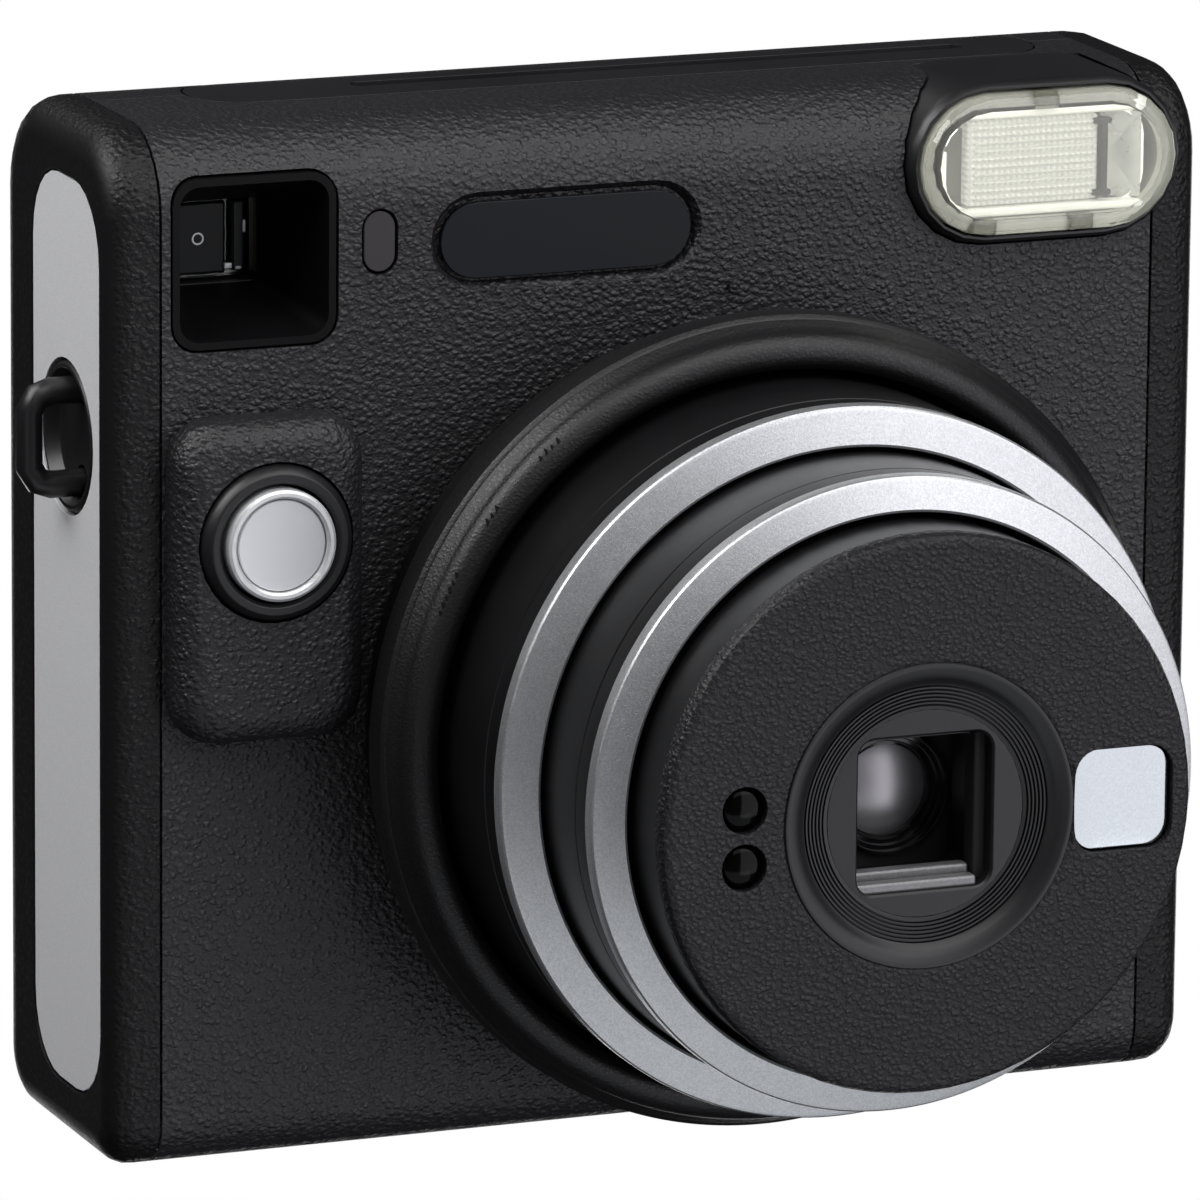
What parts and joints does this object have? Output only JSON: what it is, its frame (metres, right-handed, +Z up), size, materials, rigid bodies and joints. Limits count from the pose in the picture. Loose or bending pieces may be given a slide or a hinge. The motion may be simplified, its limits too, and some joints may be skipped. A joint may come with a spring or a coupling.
{
  "type": "instant camera",
  "caption": "Square-format instant film camera with grained black covers, silver side panels and a telescoping lens worked by a dial ring.",
  "frame": {"origin": "centre of the body's flat base", "axes": "+Z up, the front and the lens face -Y, +X to the right of someone who looks at the front"},
  "size_m": [0.14, 0.0987, 0.1205],
  "materials": {
    "leather_grain": "fine pebbled grain, satin",
    "satin_black": "smooth satin",
    "matte_black": "matte",
    "panel_silver": "fine satin silver",
    "steel": "plain steel",
    "clear": "clear moulded plastic",
    "dark_window": "gloss",
    "gloss_plate": "gloss, blank",
    "reflector": "bright reflector",
    "board_green": "solder mask",
    "battery_jacket": "plain sleeve",
    "dial_black": "fine texture",
    "barrel_black": "smooth satin",
    "ring_silver": "fine silver paint",
    "mirror": "polished",
    "lens_glass": "coated",
    "blade_steel": "dark matte",
    "button_silver": "spun satin",
    "gear_white": "natural acetal"
  },
  "bodies": {
    "camera_body": {"front_cover": "leather_grain", "rear_cover": "satin_black", "side_frame_left": "satin_black", "side_frame_right": "satin_black", "side_panel_left": "panel_silver", "side_panel_right": "panel_silver", "slot_panel": "satin_black", "film_hinge_pin": "steel", "battery_hinge_pin": "steel", "film_chamber": "matte_black", "lens_sleeve": "matte_black", "viewfinder_bezel": "satin_black", "viewfinder_window": "clear", "eyepiece_bezel": "satin_black", "eyepiece_lens": "clear", "sensor_window": "dark_window", "name_plate": "gloss_plate", "flash_housing": "satin_black", "flash_window": "clear", "flash_reflector": "reflector", "flash_tube": "clear", "button_collar": "satin_black", "lug_plate": "satin_black", "strap_lug": "satin_black", "roller_bracket": "steel", "eject_motor": "steel", "flash_capacitor": "satin_black", "main_board": "board_green", "battery_holder": "satin_black", "battery_upper": "battery_jacket", "battery_lower": "battery_jacket", "button_switch": "steel"},
    "dial": {"dial_ring": "dial_black"},
    "outer_stage": {"outer_barrel": "barrel_black", "outer_trim_ring": "ring_silver"},
    "middle_stage": {"middle_barrel": "barrel_black", "middle_trim_ring": "ring_silver"},
    "inner_stage": {"inner_barrel": "barrel_black", "face_plate": "leather_grain", "lens_hood": "satin_black", "selfie_mirror": "mirror", "range_window_upper": "dark_window", "range_window_lower": "dark_window", "front_lens": "lens_glass", "rear_lens": "lens_glass", "shutter_housing": "matte_black", "rear_lens_cell": "matte_black"},
    "blade_upper": {"shutter_blade_upper": "blade_steel"},
    "blade_lower": {"shutter_blade_lower": "blade_steel"},
    "button": {"shutter_button": "button_silver"},
    "back_door": {"film_door": "leather_grain", "door_window": "clear"},
    "latch": {"film_door_latch": "satin_black"},
    "battery_cover": {"battery_door": "leather_grain"},
    "roller_front": {"front_roller": "steel"},
    "roller_rear": {"rear_roller": "steel"},
    "drive": {"drive_gear": "gear_white"},
    "pinion": {"motor_pinion": "gear_white"},
    "claw": {"film_claw": "steel"}
  },
  "joints": [
    {"name": "dial_turn", "type": "hinge", "parent": "camera_body", "child": "dial", "pos_m": [0.0085, -0.0255, 0.0499], "axis": [0, -1, 0], "range_deg": [-46.1, 11.1]},
    {"name": "outer_stage_slide", "type": "slide", "parent": "camera_body", "child": "outer_stage", "axis": [0, -1, 0], "range_m": [-0.0152, 0.00364]},
    {"name": "middle_stage_slide", "type": "slide", "parent": "outer_stage", "child": "middle_stage", "axis": [0, -1, 0], "range_m": [-0.01442, 0.00346]},
    {"name": "inner_stage_slide", "type": "slide", "parent": "middle_stage", "child": "inner_stage", "axis": [0, -1, 0], "range_m": [-0.00882, 0.00212]},
    {"name": "blade_upper_turn", "type": "hinge", "parent": "inner_stage", "child": "blade_upper", "pos_m": [0.0085, -0.0577, 0.0594], "axis": [0, -1, 0], "range_deg": [0, 62]},
    {"name": "blade_lower_turn", "type": "hinge", "parent": "inner_stage", "child": "blade_lower", "pos_m": [0.0085, -0.057, 0.0404], "axis": [0, -1, 0], "range_deg": [0, 62]},
    {"name": "button_press", "type": "slide", "parent": "camera_body", "child": "button", "axis": [0, 1, 0], "range_m": [0, 0.0015], "stiffness_N_per_m": 1500, "springref_m": -0.0005},
    {"name": "film_door_turn", "type": "hinge", "parent": "camera_body", "child": "back_door", "pos_m": [0.055, 0.0175, 0.057], "axis": [0, 0, -1], "range_deg": [0, 95]},
    {"name": "latch_slide", "type": "slide", "parent": "back_door", "child": "latch", "axis": [1, 0, 0], "range_m": [0, 0.0022]},
    {"name": "battery_door_turn", "type": "hinge", "parent": "camera_body", "child": "battery_cover", "pos_m": [-0.056, 0.0175, 0.046], "axis": [0, 0, 1], "range_deg": [0, 95]},
    {"name": "rear_roller_spin", "type": "hinge", "parent": "camera_body", "child": "roller_rear", "pos_m": [0.008, 0.0071, 0.1075], "axis": [1, 0, 0], "continuous": true},
    {"name": "front_roller_spin", "type": "hinge", "parent": "camera_body", "child": "roller_front", "pos_m": [0.008, -0.0001, 0.1075], "axis": [1, 0, 0], "continuous": true},
    {"name": "drive_gear_spin", "type": "hinge", "parent": "camera_body", "child": "drive", "pos_m": [0.0535, 0.0071, 0.0985], "axis": [1, 0, 0], "continuous": true},
    {"name": "motor_pinion_spin", "type": "hinge", "parent": "camera_body", "child": "pinion", "pos_m": [0.0535, 0.0071, 0.0901], "axis": [1, 0, 0], "continuous": true},
    {"name": "film_claw_slide", "type": "slide", "parent": "camera_body", "child": "claw", "axis": [0, 0, 1], "range_m": [0, 0.006]}
  ],
  "couplings": [
    {"joint": "dial_turn", "follows": "outer_stage_slide", "rad_per_m": 52.819},
    {"joint": "middle_stage_slide", "follows": "outer_stage_slide", "ratio": 0.94737},
    {"joint": "inner_stage_slide", "follows": "outer_stage_slide", "ratio": 0.57895},
    {"joint": "blade_lower_turn", "follows": "blade_upper_turn", "ratio": 1},
    {"joint": "front_roller_spin", "follows": "rear_roller_spin", "ratio": -1},
    {"joint": "drive_gear_spin", "follows": "rear_roller_spin", "ratio": -0.66667},
    {"joint": "motor_pinion_spin", "follows": "rear_roller_spin", "ratio": 1.2}
  ]
}
